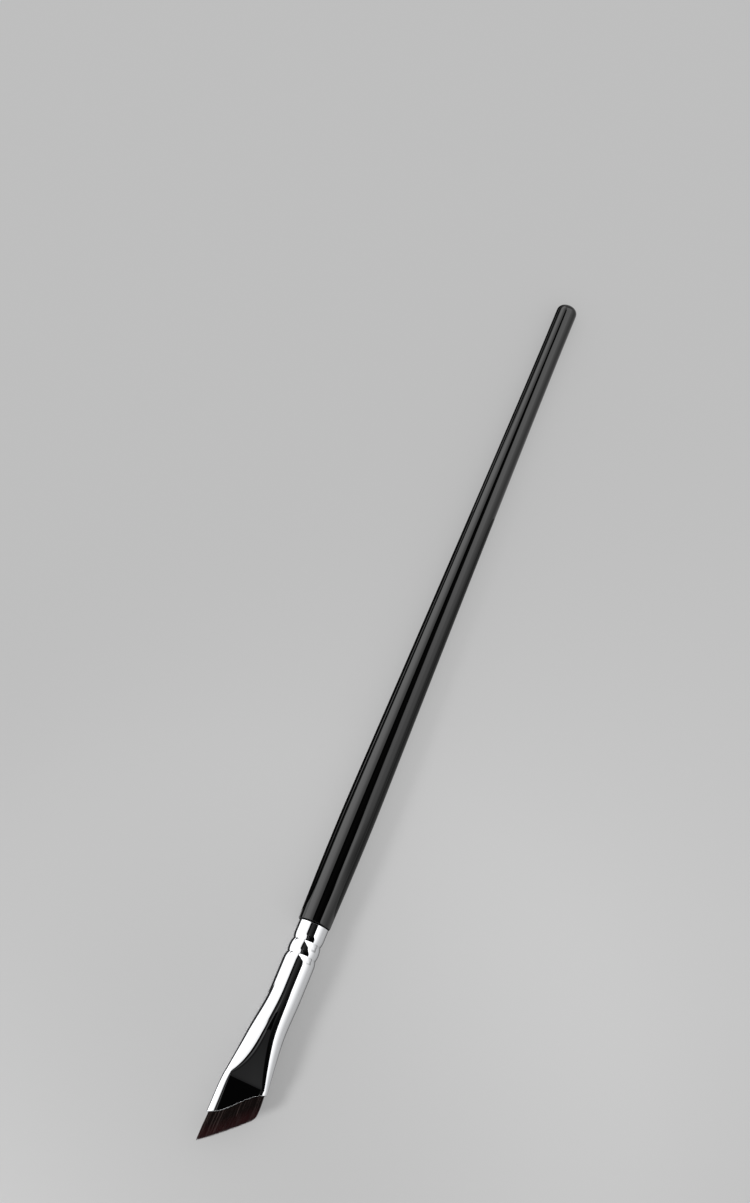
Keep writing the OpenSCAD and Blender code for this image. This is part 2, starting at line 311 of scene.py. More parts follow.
def make_piece(name, points, quads, triangles=()):
    """Puts points and faces into a new mesh object at the origin, with its faces pointing out."""
    quads = np.asarray(quads, dtype=np.int32).reshape(-1, 4)
    triangles = np.asarray(triangles, dtype=np.int32).reshape(-1, 3)
    split = np.concatenate([quads[:, [0, 1, 2]], quads[:, [0, 2, 3]], triangles])
    a, b, c = (points[split[:, k]] for k in range(3))
    if np.sum(a * np.cross(b, c)) < 0:
        quads, triangles = quads[:, ::-1], triangles[:, ::-1]
    mesh = bpy.data.meshes.new(name)
    mesh.vertices.add(len(points))
    mesh.vertices.foreach_set("co", np.ascontiguousarray(points, dtype=np.float32).ravel())
    corners = np.concatenate([quads.ravel(), triangles.ravel()])
    mesh.loops.add(len(corners))
    mesh.loops.foreach_set("vertex_index", corners.astype(np.int32))
    counts = np.concatenate([np.full(len(quads), 4), np.full(len(triangles), 3)])
    mesh.polygons.add(len(counts))
    mesh.polygons.foreach_set("loop_start", (np.cumsum(counts) - counts).astype(np.int32))
    mesh.update(calc_edges=True)
    mesh.validate()
    mesh.shade_smooth()
    mesh.set_sharp_from_angle(angle=SHARP_BEND)
    piece = bpy.data.objects.new(name, mesh)
    bpy.context.scene.collection.objects.link(piece)
    return piece


def surface(name, rings, loop=False):
    """Closed surface through rings with as many points each: quads join neighbours around and
    along. A loop joins the last ring to the first, otherwise each end closes on its middle."""
    count, n = rings.shape[:2]
    rows = np.arange(count if loop else count - 1)[:, None]
    i = np.arange(n)[None, :]
    j = (i + 1) % n
    after = (rows + 1) % count
    quads = np.stack([rows * n + i, rows * n + j, after * n + j, after * n + i], -1)
    points = rings.reshape(-1, 3)
    if loop:
        return make_piece(name, points, quads)
    ends = np.array([rings[0].mean(axis=0), rings[-1].mean(axis=0)])
    ring = np.arange(n)
    first = np.stack([ring, np.full(n, count * n), (ring + 1) % n], -1)
    last = np.stack([ring, (ring + 1) % n, np.full(n, count * n + 1)], -1)
    last = last + [(count - 1) * n, (count - 1) * n, 0]
    return make_piece(name, np.concatenate([points, ends]), quads, np.concatenate([first, last]))


def add_node(tree, kind, inputs=(), **settings):
    """Adds a node, sets its options, and fills its inputs with values or links."""
    node = tree.nodes.new(kind)
    for key, value in settings.items():
        setattr(node, key, value)
    for key, value in dict(inputs).items():
        if isinstance(value, bpy.types.NodeSocket):
            tree.links.new(value, node.inputs[key])
        else:
            node.inputs[key].default_value = value
    return node


def new_material(name):
    """An empty material and its node tree with an output."""
    material = bpy.data.materials.new(name)
    material.use_nodes = True
    material.node_tree.nodes.clear()
    output = add_node(material.node_tree, "ShaderNodeOutputMaterial")
    return material, material.node_tree, output


def opaque(rgb):
    """A colour with its alpha."""
    return (*rgb, 1.0)


def lacquer_material(h):
    """Gloss black lacquer sprayed on turned beech: a deep black with a mirror-like skin that shows
    the softboxes as clear bands, whose edges waver a little where the grain telegraphs through."""
    material, tree, output = new_material("Sprayed black lacquer")
    coords = add_node(tree, "ShaderNodeTexCoord").outputs["Object"]
    # Grain lines are about 0.4 mm apart and run many millimetres along the handle.
    grain_place = add_node(tree, "ShaderNodeMapping", {"Vector": coords, "Scale": (60, 2500, 2500)})
    grain = add_node(tree, "ShaderNodeTexNoise", {
        "Vector": grain_place.outputs[0], "Scale": 1.0, "Detail": 2.0, "Roughness": 0.5})
    # Sprayed lacquer levels into a skin with ripples about 2.5 mm long and 1.4 mm wide.
    ripple_place = add_node(tree, "ShaderNodeMapping", {"Vector": coords, "Scale": (400, 700, 700)})
    ripple = add_node(tree, "ShaderNodeTexNoise", {
        "Vector": ripple_place.outputs[0], "Scale": 1.0, "Detail": 1.0, "Roughness": 0.4})
    grain_bump = add_node(tree, "ShaderNodeBump", {
        "Strength": 0.25, "Distance": 0.004 * MM, "Height": grain.outputs["Fac"]})
    ripple_bump = add_node(tree, "ShaderNodeBump", {
        "Strength": 0.5, "Distance": 0.008 * MM, "Height": ripple.outputs["Fac"],
        "Normal": grain_bump.outputs[0]})
    gloss = add_node(tree, "ShaderNodeMapRange", {
        "Value": ripple.outputs["Fac"], "From Min": 0.3, "From Max": 0.7, "To Min": 0.03, "To Max": 0.06})
    skin = add_node(tree, "ShaderNodeBsdfPrincipled", {
        "Base Color": opaque(h.lacquer), "Roughness": gloss.outputs[0], "IOR": 1.53,
        "Normal": ripple_bump.outputs[0]})
    tree.links.new(skin.outputs[0], output.inputs["Surface"])
    return material


def metal_material(f, lacquer):
    """Drawn aluminium tube, bright polished: a mirror with faint lines left along the draw, which
    soften the edges of what it mirrors by a hair. Its end at the handle has a painted shade line in
    the lacquer's colour, standing in for the dark reflection and shadow at the joint."""
    material, tree, output = new_material("Polished drawn aluminium")
    coords = add_node(tree, "ShaderNodeTexCoord").outputs["Object"]
    # Draw lines are about 0.1 mm apart, drawn coarser than the real ones so that they show.
    line_place = add_node(tree, "ShaderNodeMapping", {"Vector": coords, "Scale": (120, 9000, 9000)})
    lines = add_node(tree, "ShaderNodeTexNoise", {
        "Vector": line_place.outputs[0], "Scale": 1.0, "Detail": 3.0, "Roughness": 0.6})
    bump = add_node(tree, "ShaderNodeBump", {
        "Strength": 0.12, "Distance": 0.002 * MM, "Height": lines.outputs["Fac"]})
    polish = add_node(tree, "ShaderNodeMapRange", {
        "Value": lines.outputs["Fac"], "From Min": 0.3, "From Max": 0.7, "To Min": 0.012, "To Max": 0.03})
    # Painted shade: a matt black line 0.2 mm wide on the end of the tube, in the lacquer's colour, stands in
    # for the dark reflection and shadow at the joint.
    reach = add_node(tree, "ShaderNodeSeparateXYZ", {"Vector": coords}).outputs["X"]
    joint = float(laid(0, 0, 0)[0])
    away_from_painted_shade = add_node(tree, "ShaderNodeMapRange", {
        "Value": reach, "From Min": joint - 0.22 * MM, "From Max": joint - 0.18 * MM,
        "To Min": 1.0, "To Max": 0.0})
    tint = add_node(tree, "ShaderNodeMixRGB", {
        "Fac": away_from_painted_shade.outputs[0], "Color1": opaque(lacquer), "Color2": opaque(f.metal)})
    skin = add_node(tree, "ShaderNodeBsdfPrincipled", {
        "Base Color": tint.outputs[0], "Metallic": away_from_painted_shade.outputs[0], "Roughness": polish.outputs[0],
        "Specular IOR Level": away_from_painted_shade.outputs[0], "Normal": bump.outputs[0]})
    tree.links.new(skin.outputs[0], output.inputs["Surface"])
    return material


def bristle_material(t):
    """Nylon bristle dyed dark brown, paler and redder where each hair thins out at its tip. Every
    hair has its own shade, so the tuft shows fine strands and a few pale ones."""
    material, tree, output = new_material("Dyed nylon bristle")
    along = add_node(tree, "ShaderNodeAttribute", attribute_name="along").outputs["Fac"]
    shade = add_node(tree, "ShaderNodeAttribute", attribute_name="shade").outputs["Fac"]
    tint = add_node(tree, "ShaderNodeMapRange", {
        "Value": along, "From Min": 0.55, "From Max": 1.0, "To Min": 0.0, "To Max": 1.0})
    tipped = add_node(tree, "ShaderNodeMixRGB", {
        "Fac": tint.outputs[0], "Color1": opaque(t.root_colour), "Color2": opaque(t.tip_colour)})
    pale = add_node(tree, "ShaderNodeMapRange", {
        "Value": shade, "From Min": 0.9, "From Max": 0.98, "To Min": 0.0, "To Max": 0.5})
    mixed = add_node(tree, "ShaderNodeMixRGB", {
        "Fac": pale.outputs[0], "Color1": tipped.outputs[0], "Color2": opaque(t.light_colour)})
    skin = add_node(tree, "ShaderNodeBsdfPrincipled", {
        "Base Color": mixed.outputs[0], "Roughness": 0.45, "IOR": 1.53, "Specular IOR Level": 0.07})
    tree.links.new(skin.outputs[0], output.inputs["Surface"])
    return material


def core_material(t):
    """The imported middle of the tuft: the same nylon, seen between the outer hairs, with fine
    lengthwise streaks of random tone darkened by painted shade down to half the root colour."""
    material, tree, output = new_material("Packed nylon bristle")
    coords = add_node(tree, "ShaderNodeTexCoord").outputs["Object"]
    # Streaks are a little over one hair wide, 0.09 mm, and run the length of the tuft.
    place = add_node(tree, "ShaderNodeMapping", {"Vector": coords, "Scale": (150, 11000, 3000)})
    streaks = add_node(tree, "ShaderNodeTexNoise", {
        "Vector": place.outputs[0], "Scale": 1.0, "Detail": 2.0, "Roughness": 0.6})
    # Painted shade: the streaks darken the core down to half the root colour, for the shade between the
    # hairs.
    painted_gap_shade = opaque([0.5 * c for c in t.root_colour])
    mixed = add_node(tree, "ShaderNodeMixRGB", {
        "Fac": streaks.outputs["Fac"], "Color1": painted_gap_shade, "Color2": opaque(t.root_colour)})
    bump = add_node(tree, "ShaderNodeBump", {
        "Strength": 0.6, "Distance": 0.02 * MM, "Height": streaks.outputs["Fac"]})
    skin = add_node(tree, "ShaderNodeBsdfPrincipled", {
        "Base Color": mixed.outputs[0], "Roughness": 0.6, "IOR": 1.53, "Normal": bump.outputs[0]})
    tree.links.new(skin.outputs[0], output.inputs["Surface"])
    return material


def glue_material():
    """Hardened clear epoxy with an amber cast and a few trapped bubbles."""
    material, tree, output = new_material("Amber epoxy")
    coords = add_node(tree, "ShaderNodeTexCoord").outputs["Object"]
    # Bubbles are about 0.4 mm across.
    bubbles = add_node(tree, "ShaderNodeTexVoronoi", {"Vector": coords, "Scale": 2500.0})
    bump = add_node(tree, "ShaderNodeBump", {
        "Strength": 0.4, "Distance": 0.03 * MM, "Height": bubbles.outputs["Distance"]})
    amber = opaque(linear("#8a6424"))
    pale_amber = opaque(linear("#c09a4e"))
    tint = add_node(tree, "ShaderNodeMixRGB", {
        "Fac": bubbles.outputs["Distance"], "Color1": amber, "Color2": pale_amber})
    skin = add_node(tree, "ShaderNodeBsdfPrincipled", {
        "Base Color": tint.outputs[0], "Roughness": 0.2, "IOR": 1.55, "Normal": bump.outputs[0]})
    tree.links.new(skin.outputs[0], output.inputs["Surface"])
    return material


def settle(piece, material, slot, *nodes):
    """Gives a piece its material, says what it rides on, and hides the imported parts that it stands for."""
    piece.data.materials.append(material)
    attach(piece, "root")
    if nodes:
        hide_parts(*nodes)


def handle_profile(h, f):
    """Radius and station of the handle's outline, from the tail's pole to the tenon's pole: a
    superellipse, the parallel tail, a power-law taper, a parabola up to the shoulder, a rounded
    edge, and the tenon that follows the inside of the crimped ferrule."""
    belly, tail = h.belly_d / 2, h.tail_d / 2
    shoulder = f.crimp_d / 2 + h.shoulder_step
    straight_end = h.length - h.tail_round
    straight_start = straight_end - h.tail_straight
    # The rounded end starts 2 degrees short of its pole, where the surface closes on its middle.
    a = np.radians(np.linspace(88, 0, 26))
    cap_radius = tail * np.cos(a) ** (2 / h.tail_fullness)
    cap = np.stack([cap_radius, -straight_end - h.tail_round * np.sin(a) ** (2 / h.tail_fullness)], -1)
    d = np.linspace(straight_end, straight_start, 8)[1:-1]
    parallel = np.stack([np.full_like(d, tail), -d], -1)
    t = np.linspace(1, 0, 150)
    soft = np.sqrt(t ** 2 + h.taper_ease ** 2) - h.taper_ease
    soft = soft / (math.sqrt(1 + h.taper_ease ** 2) - h.taper_ease)
    taper_radius = tail + (belly - tail) * (1 - soft) ** h.taper_power
    taper = np.stack([taper_radius, -(h.belly_at + t * (straight_start - h.belly_at))], -1)
    d = np.linspace(h.belly_at, h.shoulder_round, 50)[1:]
    swell = np.stack([belly - (belly - shoulder) * (1 - d / h.belly_at) ** 2, -d], -1)
    a = np.radians(np.linspace(0, 90, 9))[1:]
    edge_radius = swell[-1, 0] - h.shoulder_round * (1 - np.cos(a))
    edge = np.stack([edge_radius, -h.shoulder_round * (1 - np.sin(a))], -1)
    s = np.linspace(0, h.tenon_length - h.tenon_chamfer, 60)
    tenon = np.stack([round_radius(f, s) - f.wall - h.tenon_gap, s], -1)
    end_radius = round_radius(f, np.array(h.tenon_length)) - f.wall - h.tenon_gap - h.tenon_chamfer
    end = np.array([[end_radius, h.tenon_length], [end_radius / 2, h.tenon_length]])
    return np.concatenate([cap, parallel, taper, swell, edge, tenon, end])


class BRUSH_OT_add_handle(bpy.types.Operator):
    """Adds the turned and lacquered handle"""

    bl_idname = "brush.add_handle"
    bl_label = "Handle"

    def execute(self, context):
        h, f = context.scene.brush_handle, context.scene.brush_ferrule
        profile = handle_profile(h, f)
        sides = 120
        angle = np.linspace(0, 2 * math.pi, sides, endpoint=False)
        radius, station = profile[:, :1], profile[:, 1:]
        piece = surface("lacquered_handle", laid(radius * np.cos(angle), radius * np.sin(angle), station))
        settle(piece, lacquer_material(h), "black_lacquer", "handle")
        return {"FINISHED"}


class BRUSH_OT_add_ferrule(bpy.types.Operator):
    """Adds the crimped and flattened metal ferrule"""

    bl_idname = "brush.add_ferrule"
    bl_label = "Ferrule"

    def execute(self, context):
        h, f = context.scene.brush_handle, context.scene.brush_ferrule
        place, face = around(44)
        start = h.tenon_gap
        end = f.crease_at + MM
        crease_start = f.crease_at - 0.6 * MM
        bevel = np.linspace(0, math.pi / 2, 6)
        groove_marks = f.groove_at + f.groove_pitch * np.arange(2)
        barrel = np.linspace(start + f.end_bevel, f.flatten_at, 150)[1:]
        barrel = np.unique(np.concatenate([barrel, groove_marks]).round(7))
        press = np.linspace(f.flatten_at, crease_start, 60)[1:]
        crease = np.linspace(crease_start, f.crease_at, 12)[1:]
        mouth = f.crease_at + MM * np.linspace(0, 1, 36)[1:]
        way = np.concatenate([barrel, press, crease, mouth])
        rows = [
            np.stack([start + f.end_bevel * (1 - np.cos(bevel)), f.end_bevel * (1 - np.sin(bevel))], -1),
            np.stack([way, np.zeros_like(way)], -1),
            [[end, 0.0]],
        ]
        travel, inset = np.concatenate(rows)[:, :, None].transpose(1, 0, 2)
        back = np.full_like(travel, f.wall / 2)
        # A ring close behind the last one keeps the face even up to the lip.
        back[-2] += 0.015 * MM
        outside = np.stack(tube_points(f, travel, place, face, inset, back))
        # The lip is turned over from the outer to the inner wall in a half circle.
        lip_turn = np.linspace(0, math.pi, 8)[1:-1, None]
        lip_inset = f.wall / 2 * (1 - np.cos(lip_turn))
        lip = np.stack(tube_points(f, end + 0 * lip_turn, place, face, lip_inset))
        lip[2] -= f.wall / 2 * (1 - np.sin(lip_turn))
        homeward = np.concatenate([mouth[::-2], press[::-2], barrel[::-1], [start]])[:, None]
        inside = np.stack(tube_points(f, homeward, place, face, f.wall, f.wall / 2))
        rings = laid(*np.concatenate([outside, lip, inside], axis=1))
        piece = surface("polished_ferrule", rings, loop=True)
        settle(piece, metal_material(f, h.lacquer), "ferrule_metal", "ferrule")
        return {"FINISHED"}


def edge_at(t, half, y):
    """Station of the slanted edge at a distance from the short side: a straight line with a
    parabola for its bulge, less a quarter circle at the heel."""
    u = y / (2 * half)
    c = 1 - np.minimum(1.0, y / t.heel_round)
    line = t.heel_at + (t.tip_at - t.heel_at) * u + 4 * t.edge_bulge * u * (1 - u)
    return line - t.heel_round * (1 - np.sqrt(1 - c ** 2))


def tuft_place(f, t, across, depth, s_share):
    """Point of the tuft. Across and depth run from -1 to 1 over its width and thickness, the share
    from -1 at the crease over 0 at the mouth to 1 at the slanted edge. Beyond the mouth the
    thickness falls by a power of the share and the width spreads a little."""
    inset = f.wall + t.wall_gap
    places = np.linspace(-1, 1, 401)
    _, sides, mouths = tube_points(f, f.crease_at + MM, places, 1.0, inset)
    sides = sides - f.head_offset
    half = f.mouth_width / 2 - inset
    reach = np.where(across > 0, sides[-1], -sides[0])
    place = np.interp(across * reach, sides, places)
    mouth = np.interp(across * reach, sides, mouths)
    held = np.clip(s_share, -1.0, 0.0)
    free = np.clip(s_share, 0.0, 1.0)
    moved = shift(f, f.crease_at, place)
    level = mouth - moved + held * (mouth - moved - f.crease_at)
    thickness, width, flat = half_sizes(f, level, place)
    wide = width - inset + t.spread * ease(2 * free)
    tip = edge_at(t, half + t.spread, np.clip((across + 1) * (half + t.spread), 0.0, None))
    station = level + moved + (tip - mouth) * free
    thin = 1 - (1 - t.tip_thickness / (f.mouth_thickness - 2 * inset)) * free ** t.thinning_power
    side = width - flat
    beside = np.clip((np.abs(across) * width - flat) / side, 0.0, 1.0)
    room = (thickness - inset) * np.sqrt(1 - beside ** 2) * thin
    return depth * room, across * wide + f.head_offset, station


class BRUSH_OT_add_tuft(bpy.types.Operator):
    """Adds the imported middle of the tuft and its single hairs"""

    bl_idname = "brush.add_tuft"
    bl_label = "Bristle"

    def execute(self, context):
        f, t = context.scene.brush_ferrule, context.scene.brush_tuft
        self.add_core(f, t)
        self.add_hairs(f, t)
        return {"FINISHED"}

    def add_core(self, f, t):
        """A body a hair's width inside the tuft, from the roots to just short of the edge."""
        place, face = around(30)
        inset = f.wall + t.wall_gap + t.hair_d
        held = np.linspace(t.root_at, f.crease_at, 10)[:, None]
        root = np.stack(tube_points(f, held, place, face, inset))
        width_share, depth_share, length_share = 0.975, 0.8, 0.93
        share_along = np.concatenate([np.linspace(-1, 0, 8)[1:], np.linspace(0, length_share, 16)[1:]])
        angle = np.arccos(np.clip(place, -1, 1))
        across = width_share * np.cos(angle)
        free = np.stack(tuft_place(f, t, across, face * depth_share, share_along[:, None]))
        rings = laid(*np.concatenate([root, free], axis=1))
        piece = surface("bristle_core", rings)
        settle(piece, core_material(t), "bristle", "bristle_tuft")

    def add_hairs(self, f, t):
        """Tapered hairs of four sides that follow the tuft from inside the mouth to its edge. Each
        keeps its place across and through the tuft, wavers a little and ends at the slanted edge
        or just short of it."""
        rng = np.random.default_rng(HAIR_SEED)
        n, steps = t.hairs, 7
        outer_share, short_share, start = 0.72, 0.12, -0.35
        across = rng.uniform(-0.985, 0.985, n)
        outer = rng.random(n) < outer_share
        skin_depth = rng.uniform(0.84, 0.98, n) * rng.choice([-1, 1], n)
        depth = np.where(outer, skin_depth, rng.uniform(-0.8, 0.8, n))
        is_short = rng.random(n) < short_share
        short = np.where(is_short, rng.uniform(0.03, 0.12, n), rng.uniform(0.0, 0.03, n))
        along = np.linspace(0, 1, steps + 1)[None, :]
        way = start + (1 - start - short[:, None]) * along
        waver = 0.006 * np.sin(along * rng.uniform(2, 7, (n, 1)) + rng.uniform(0, 6.3, (n, 1))) * along
        lean = rng.normal(0, 0.006, (n, 1)) * along ** 2
        path = np.clip(across[:, None] + waver + lean, -0.99, 0.99)
        up, side, station = tuft_place(f, t, path, depth[:, None] * np.ones_like(along), way)
        radius = t.hair_d / 2 * (1 - 0.75 * np.clip((along - 0.55) / 0.45, 0, 1) ** 1.3)
        up = up - np.sign(up) * np.minimum(radius, np.abs(up))
        corner = np.radians([45, 135, 225, 315])
        rings_up = up[..., None] + radius[..., None] * np.cos(corner)
        rings_side = side[..., None] + radius[..., None] * np.sin(corner)
        body = laid(rings_up, rings_side, station[..., None] * np.ones(4))[:, :-1].reshape(n, -1, 3)
        tips = laid(up[:, -1:], side[:, -1:], station[:, -1:])
        points = np.concatenate([body, tips], axis=1)
        per = points.shape[1]
        base = (np.arange(n) * per)[:, None, None]
        i = np.arange(4)
        rows = (np.arange(steps - 1) * 4)[:, None]
        quad = np.stack([rows + i, rows + (i + 1) % 4, rows + 4 + (i + 1) % 4, rows + 4 + i], -1)
        quad = np.concatenate([quad.reshape(-1, 4), [[3, 2, 1, 0]]])
        last = (steps - 1) * 4
        cone = np.stack([last + i, last + (i + 1) % 4, np.full(4, per - 1)], -1)
        piece = make_piece("bristle_hairs", points.reshape(-1, 3), base + quad, base + cone)
        shade = np.repeat(rng.random(n), per)
        run = np.concatenate([np.repeat(np.linspace(0, 1, steps + 1)[:-1], 4), [1.0]])
        for name, values in (("shade", shade), ("along", np.tile(run, n))):
            layer = piece.data.attributes.new(name, "FLOAT", "POINT")
            layer.data.foreach_set("value", values.astype(np.float32))
        settle(piece, bristle_material(t), "bristle", "bristle_tuft")


class BRUSH_OT_finish_glue(bpy.types.Operator):
    """Gives the hidden glue plug its finish"""

    bl_idname = "brush.finish_glue"
    bl_label = "Glue"

    def execute(self, context):
        plug = frame["nodes"]["root_glue"]
        plug.data.materials.clear()
        plug.data.materials.append(glue_material())
        return {"FINISHED"}


def tent_glow(x, angle):
    """Radiance of the light tent at a distance along the brush and an angle in degrees from the
    camera's direction towards the short side: a softbox on each side of a dark opening. The left
    one brightens away from the opening, and the right one fades, by three profiles that take
    turns along the brush. The opening narrows towards the tail and closes there. A pale line and
    faint glows show inside it, and a white sheet crosses it far out over the head."""
    edge_x = [-0.24, -0.17, -0.12, -0.065, -0.05, 0.0]
    edge = np.interp(x, edge_x, [-16.5, -14.5, -15.5, -16.5, -21.0, -24.0])
    opening_x = [-0.2, -0.12, -0.05, 0.015, 0.03, 0.04, 0.07, 0.16, 0.24, 0.34]
    opening = np.interp(x, opening_x, [50, 48, 39, 31, 32, 28, 25, 9, -1, -23])
    past_frame = angle > edge + 4
    left = np.interp(edge - angle, [0, 1, 8, 16, 23, 30, 37], [0.0, 1.1, 1.15, 1.55, 2.0, 2.35, 2.45])
    left = left * np.clip(np.maximum((0.24 - x) / 0.03, (angle + 83) / 8), 0.0, 1.0)
    turns = [40, 46, 53, 61, 69, 77, 86]
    open_right = np.interp(angle, turns, [2.0, 1.6, 1.3, 1.12, 0.95, 0.76, 0.62])
    steep_right = np.interp(angle, turns, [2.1, 1.5, 0.94, 0.66, 0.55, 0.44, 0.3])
    full_right = np.interp(angle, turns, [1.52, 1.25, 1.14, 1.1, 0.99, 0.65, 0.3])
    steep_share = np.interp(x, [0.03, 0.045, 0.055, 0.085], [0.0, 1.0, 1.0, 0.0])
    full_share = np.interp(x, [0.055, 0.085, 0.14, 0.2], [0.0, 1.0, 1.0, 0.0])
    right = open_right + (steep_right - open_right) * steep_share
    right = (right + (full_right - open_right) * full_share) * np.clip(angle - opening, 0.0, 1.0)
    line = np.interp(angle, [-7, -6, -2, 1], [0.0, 0.085, 0.07, 0.0])
    line = line * np.interp(x, [-0.24, -0.18, -0.12, -0.04, 0.02], [0.0, 0.5, 1.0, 0.8, 0.0])
    far = np.interp(angle, [3.5, 5, 7.5, 10.5], [0.013, 0.03, 0.03, 0.003])
    far = far * np.interp(x, [-0.24, -0.18, -0.12], [0.95, 0.75, 0.55])
    near = np.interp(angle, [-17, -13, -6, 1, 8, 15, 23], [0.006, 0.018, 0.035, 0.022, 0.019, 0.008, 0.006])
    nearness = np.interp(x, [-0.12, -0.04], [0.0, 1.0])
    inside = (line + far + (near - far) * nearness) * (angle < opening)
    sheet = 2.0 * np.interp(x, [-0.26, -0.25], [1.0, 0.0])
    glow = np.maximum(left, np.maximum(sheet, right + inside) * past_frame)
    return glow * np.interp(x, [-0.33, -0.31], [0.0, 1.0])


def glow_grid(name, x, across, place, glow):
    """A sheet that only mirrors see: points from the place function over a grid, and a radiance at
    each point from the glow function. It lights nothing and the camera doesn't see it."""
    x, across = np.meshgrid(x, across, indexing="ij")
    points = place(x, across).reshape(-1, 3)
    rows, columns = x.shape
    corner = (np.arange(rows - 1)[:, None] * columns + np.arange(columns - 1)).ravel()
    faces = np.stack([corner, corner + 1, corner + columns + 1, corner + columns], -1)
    mesh = bpy.data.meshes.new(name)
    mesh.from_pydata(points.tolist(), [], faces.tolist())
    layer = mesh.attributes.new("glow", "FLOAT", "POINT")
    layer.data.foreach_set("value", np.broadcast_to(glow(x, across), x.shape).astype(np.float32).ravel())
    material, tree, output = new_material(name)
    strength = add_node(tree, "ShaderNodeAttribute", attribute_name="glow").outputs["Fac"]
    light = add_node(tree, "ShaderNodeEmission", {"Color": (1, 1, 1, 1), "Strength": strength})
    tree.links.new(light.outputs[0], output.inputs["Surface"])
    mesh.materials.append(material)
    obj = bpy.data.objects.new(name, mesh)
    bpy.context.scene.collection.objects.link(obj)
    obj.visible_camera = False
    obj.visible_diffuse = False
    obj.visible_transmission = False
    obj.visible_shadow = False


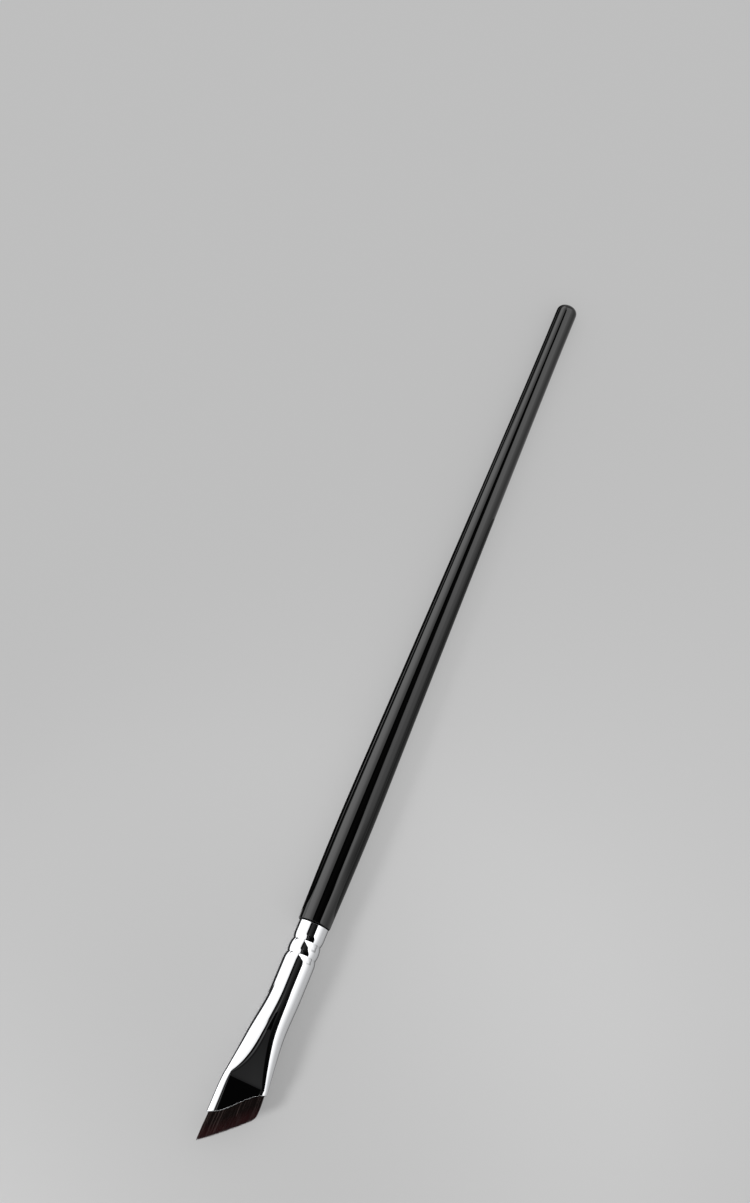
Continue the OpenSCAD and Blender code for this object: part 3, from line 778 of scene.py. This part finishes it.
class BRUSH_OT_set_stage(bpy.types.Operator):
    """Adds the floor, the studio lights and the camera"""

    bl_idname = "brush.set_stage"
    bl_label = "Stage"

    def execute(self, context):
        s = context.scene.brush_stage
        self.add_floor(s)
        self.add_lights(context.scene, s)
        self.add_camera(context.scene, s)
        context.scene.view_settings.view_transform = "Standard"
        return {"FINISHED"}

    def add_floor(self, s):
        """A wide sheet of pale grey acrylic, matt on top and lit a little from below. The light from
        below goes to the camera and the mirrors only."""
        half = 2.5
        corners = [(-half, -half, 0), (half, -half, 0), (half, half, 0), (-half, half, 0)]
        mesh = bpy.data.meshes.new("acrylic_floor")
        mesh.from_pydata(corners, [], [(0, 1, 2, 3)])
        obj = bpy.data.objects.new("acrylic_floor", mesh)
        bpy.context.scene.collection.objects.link(obj)
        material, tree, output = new_material("Matt translucent acrylic")
        ray = add_node(tree, "ShaderNodeLightPath").outputs
        seen = add_node(tree, "ShaderNodeMath", {
            0: ray["Is Camera Ray"], 1: ray["Is Glossy Ray"]}, operation="MAXIMUM")
        seen = add_node(tree, "ShaderNodeMath", {
            0: seen.outputs[0], 1: ray["Is Transmission Ray"]}, operation="MAXIMUM")
        coords = add_node(tree, "ShaderNodeTexCoord").outputs["Object"]
        away = add_node(tree, "ShaderNodeVectorMath", {0: coords, 1: s.key_aim}, operation="DISTANCE")
        glow = add_node(tree, "ShaderNodeMapRange", {
            "Value": away.outputs["Value"], "From Min": 0.0, "From Max": s.pool_radius,
            "To Min": s.pool_glow, "To Max": s.floor_glow}, interpolation_type="SMOOTHSTEP")
        level = add_node(tree, "ShaderNodeMath", {
            0: seen.outputs[0], 1: glow.outputs[0]}, operation="MULTIPLY")
        skin = add_node(tree, "ShaderNodeBsdfPrincipled", {
            "Base Color": opaque(s.floor), "Roughness": 0.9, "Specular IOR Level": 0.0,
            "Emission Color": (1, 1, 1, 1), "Emission Strength": level.outputs[0]})
        tree.links.new(skin.outputs[0], output.inputs["Surface"])
        mesh.materials.append(material)

    def add_lights(self, scene, s):
        """A light tent for the mirror-like pieces, cards on the floor beside the brush for what its
        sides mirror, and an even grey room with a soft key light that light everything."""
        side = math.degrees(s.side)
        lean = math.tan(s.lean)

        def on_tent(x, angle):
            """Point of a half cylinder over the brush."""
            a = np.radians(angle)
            return np.stack([x, -s.tent_radius * np.sin(a), s.tent_radius * np.cos(a)], -1)

        def on_floor(x, y, height):
            """Point of a level card at a height in mm, sheared towards the tail by the tangent of
            the camera's lean, because the brush's sides mirror the floor along that line."""
            return np.stack([x + np.abs(y) * lean, y, 0 * x + height * MM], -1)

        glow_grid(
            "light_tent", np.concatenate([[-1.8], np.linspace(-0.6, 0.8, 141)]), np.linspace(-90, 90, 181),
            on_tent, lambda x, a: s.tent_level * tent_glow(x, a + side),
        )
        # The black patch in the tent that the flat of the head mirrors.
        glow_grid(
            "dark_spot", np.linspace(-95, -48, 2) * MM, np.linspace(-36, 40, 2) * MM,
            lambda x, y: np.stack([x, y, 0 * x + s.tent_radius * 0.97], -1),
            lambda x, y: 0 * x + 0.0015,
        )
        steps = [5.3, 6.2, 7.5, 10, 18, 50]
        glow_grid(
            "ferrule_card_short_side", np.linspace(-82, -41, 2) * MM, -np.array([2, *steps]) * MM,
            lambda x, y: on_floor(x, y, 0.3),
            lambda x, y: np.interp(-y / MM, steps, [0.06, 0.3, 0.39, 0.5, 0.56, 0.6]),
        )
        # Near and far side and start and end in mm, glow at the start and the end, height in mm.
        for name, near, far, start, end, level, level_at_end, height in (
            ("handle_card_long_side", 2, 42, -41, 90, 0.01, 0.02, 0.2),
            ("handle_line_card_front", 9, 11.5, -38, -8, 0.02, 1.4, 0.3),
            ("handle_line_card_back", 9, 11.5, -8, 40, 1.4, 1.1, 0.3),
            ("tail_line_card", 6.5, 9, 40, 88, 1.1, 0.6, 0.3),
            ("handle_card_short_side", -2, -65, -41, 40, 0.2, 0.2, 0.3),
            ("ferrule_line_card", 5.2, 13, -57, -41, 0.03, 0.03, 0.3),
            ("ferrule_card_long_side", 13, 450, -57, -41, 1.5, 1.5, 0.3),
            ("head_line_card", 7, 20, -82, -57, 0.03, 0.03, 0.3),
            ("head_card_long_side", 20, 450, -82, -57, 1.5, 1.5, 0.3),
        ):
            glow_grid(
                name, np.linspace(start, end, 2) * MM, np.linspace(near, far, 2) * MM,
                lambda x, y: on_floor(x, y, height),
                lambda x, y: np.interp(x / MM, [start, end], [level, level_at_end]),
            )
        lamp = bpy.data.objects.new("key_light", bpy.data.lights.new("key_light", "SPOT"))
        towards = Vector((-math.sin(s.key_turn), math.cos(s.key_turn), 1 / math.tan(s.key_lean)))
        towards.normalize()
        lamp.data.energy = s.key * 4 * math.pi ** 2 * s.key_distance ** 2 / math.cos(s.key_lean)
        lamp.data.spot_size = s.key_cone
        lamp.data.spot_blend = 1.0
        lamp.data.shadow_soft_size = s.key_radius
        lamp.rotation_euler = towards.to_track_quat("Z", "Y").to_euler()
        lamp.location = Vector(s.key_aim) + towards * s.key_distance
        lamp.visible_glossy = False
        scene.collection.objects.link(lamp)
        world = bpy.data.worlds.new("Grey room")
        world.use_nodes = True
        world.node_tree.nodes["Background"].inputs["Color"].default_value = (1, 1, 1, 1)
        world.node_tree.nodes["Background"].inputs["Strength"].default_value = s.fill
        scene.world = world

    def add_camera(self, scene, s):
        """A camera above the brush, leaning towards its head, rolled so that the brush crosses the
        picture from the top right to the bottom left."""
        upright = math.cos(s.lean)
        back = Vector((-math.sin(s.lean), upright * math.sin(s.side), upright * math.cos(s.side)))
        tailwards = Vector((1, 0, 0))
        up = (tailwards - back * tailwards.dot(back)).normalized()
        up.rotate(Matrix.Rotation(s.roll, 3, back))
        right = up.cross(back)
        camera = bpy.data.objects.new("camera", bpy.data.cameras.new("camera"))
        camera.data.sensor_fit = "VERTICAL"
        camera.data.sensor_height = 36.0
        camera.data.lens = s.lens
        camera.data.clip_start = 0.01
        place = Matrix((right, up, back)).transposed().to_4x4()
        place.translation = Vector(s.aim) + back * s.distance
        camera.matrix_world = place
        scene.collection.objects.link(camera)
        scene.camera = camera


class BRUSH_PT_panel(bpy.types.Panel):
    """Sizes, colours and the buttons that build the brush"""

    bl_idname = "BRUSH_PT_panel"
    bl_label = "Slanted eyeliner brush"
    bl_space_type = "VIEW_3D"
    bl_region_type = "UI"
    bl_category = "Brush"

    def draw(self, context):
        for name, operators in PANEL_ROWS:
            box = self.layout.box()
            group = getattr(context.scene, name)
            for key in group.__annotations__:
                box.prop(group, key)
            for operator in operators:
                box.operator(operator)


GROUPS = {
    "brush_handle": HandleSizes,
    "brush_ferrule": FerruleSizes,
    "brush_tuft": TuftSizes,
    "brush_stage": StageSizes,
}
PANEL_ROWS = [
    ("brush_handle", ["brush.add_handle"]),
    ("brush_ferrule", ["brush.add_ferrule"]),
    ("brush_tuft", ["brush.add_tuft", "brush.finish_glue"]),
    ("brush_stage", ["brush.set_stage"]),
]
CLASSES = [
    *GROUPS.values(), BRUSH_OT_add_handle, BRUSH_OT_add_ferrule, BRUSH_OT_add_tuft, BRUSH_OT_finish_glue,
    BRUSH_OT_set_stage, BRUSH_PT_panel,
]


def register():
    for cls in CLASSES:
        bpy.utils.register_class(cls)
    for name, group in GROUPS.items():
        setattr(bpy.types.Scene, name, PointerProperty(type=group))


def unregister():
    for name in GROUPS:
        delattr(bpy.types.Scene, name)
    for cls in reversed(CLASSES):
        bpy.utils.unregister_class(cls)


def main():
    register()
    bpy.ops.brush.set_stage()
    bpy.ops.brush.add_handle()
    bpy.ops.brush.add_ferrule()
    bpy.ops.brush.add_tuft()
    bpy.ops.brush.finish_glue()


if __name__ == "__main__":
    main()
